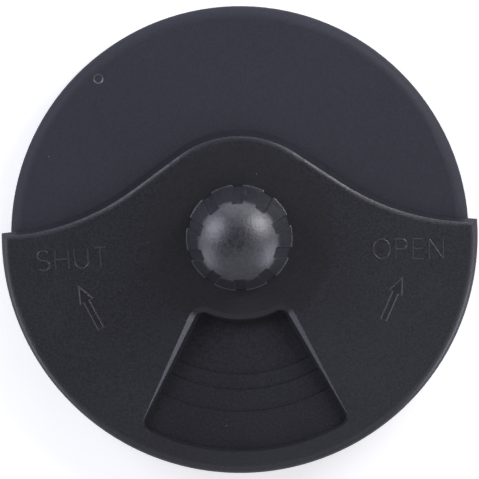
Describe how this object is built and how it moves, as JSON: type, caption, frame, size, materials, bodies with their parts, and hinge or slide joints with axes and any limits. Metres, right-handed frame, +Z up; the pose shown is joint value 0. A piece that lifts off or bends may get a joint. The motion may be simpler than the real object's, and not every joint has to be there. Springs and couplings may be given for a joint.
{
  "type": "can strainer lid",
  "caption": "Round lid for a large can, with strainer holes under a half-moon shutter that a fluted knob turns until its window stands over them.",
  "frame": {"origin": "centre of the can mouth, at the foot of the base's skirt", "axes": "+Z up out of the can along the pivot, -Y from the pivot through the window of the closed shutter"},
  "size_m": [0.1686, 0.1656, 0.0429],
  "materials": {
    "base_plastic": "fine matt grain, charcoal",
    "cover_plastic": "fine matt grain, charcoal",
    "knob_plastic": "satin, charcoal",
    "washer_steel": "bright stainless",
    "screw_steel": "bright stainless"
  },
  "bodies": {
    "base": {"base_plate": "base_plastic"},
    "cover": {"rotating_cover": "cover_plastic", "knob": "knob_plastic", "pivot_washer": "washer_steel", "pivot_screw": "screw_steel"}
  },
  "joints": [
    {"name": "cover_turn", "type": "hinge", "parent": "base", "child": "cover", "pos_m": [0, 0, 0.0145], "axis": [0, 0, 1], "range_deg": [0, 60]}
  ]
}
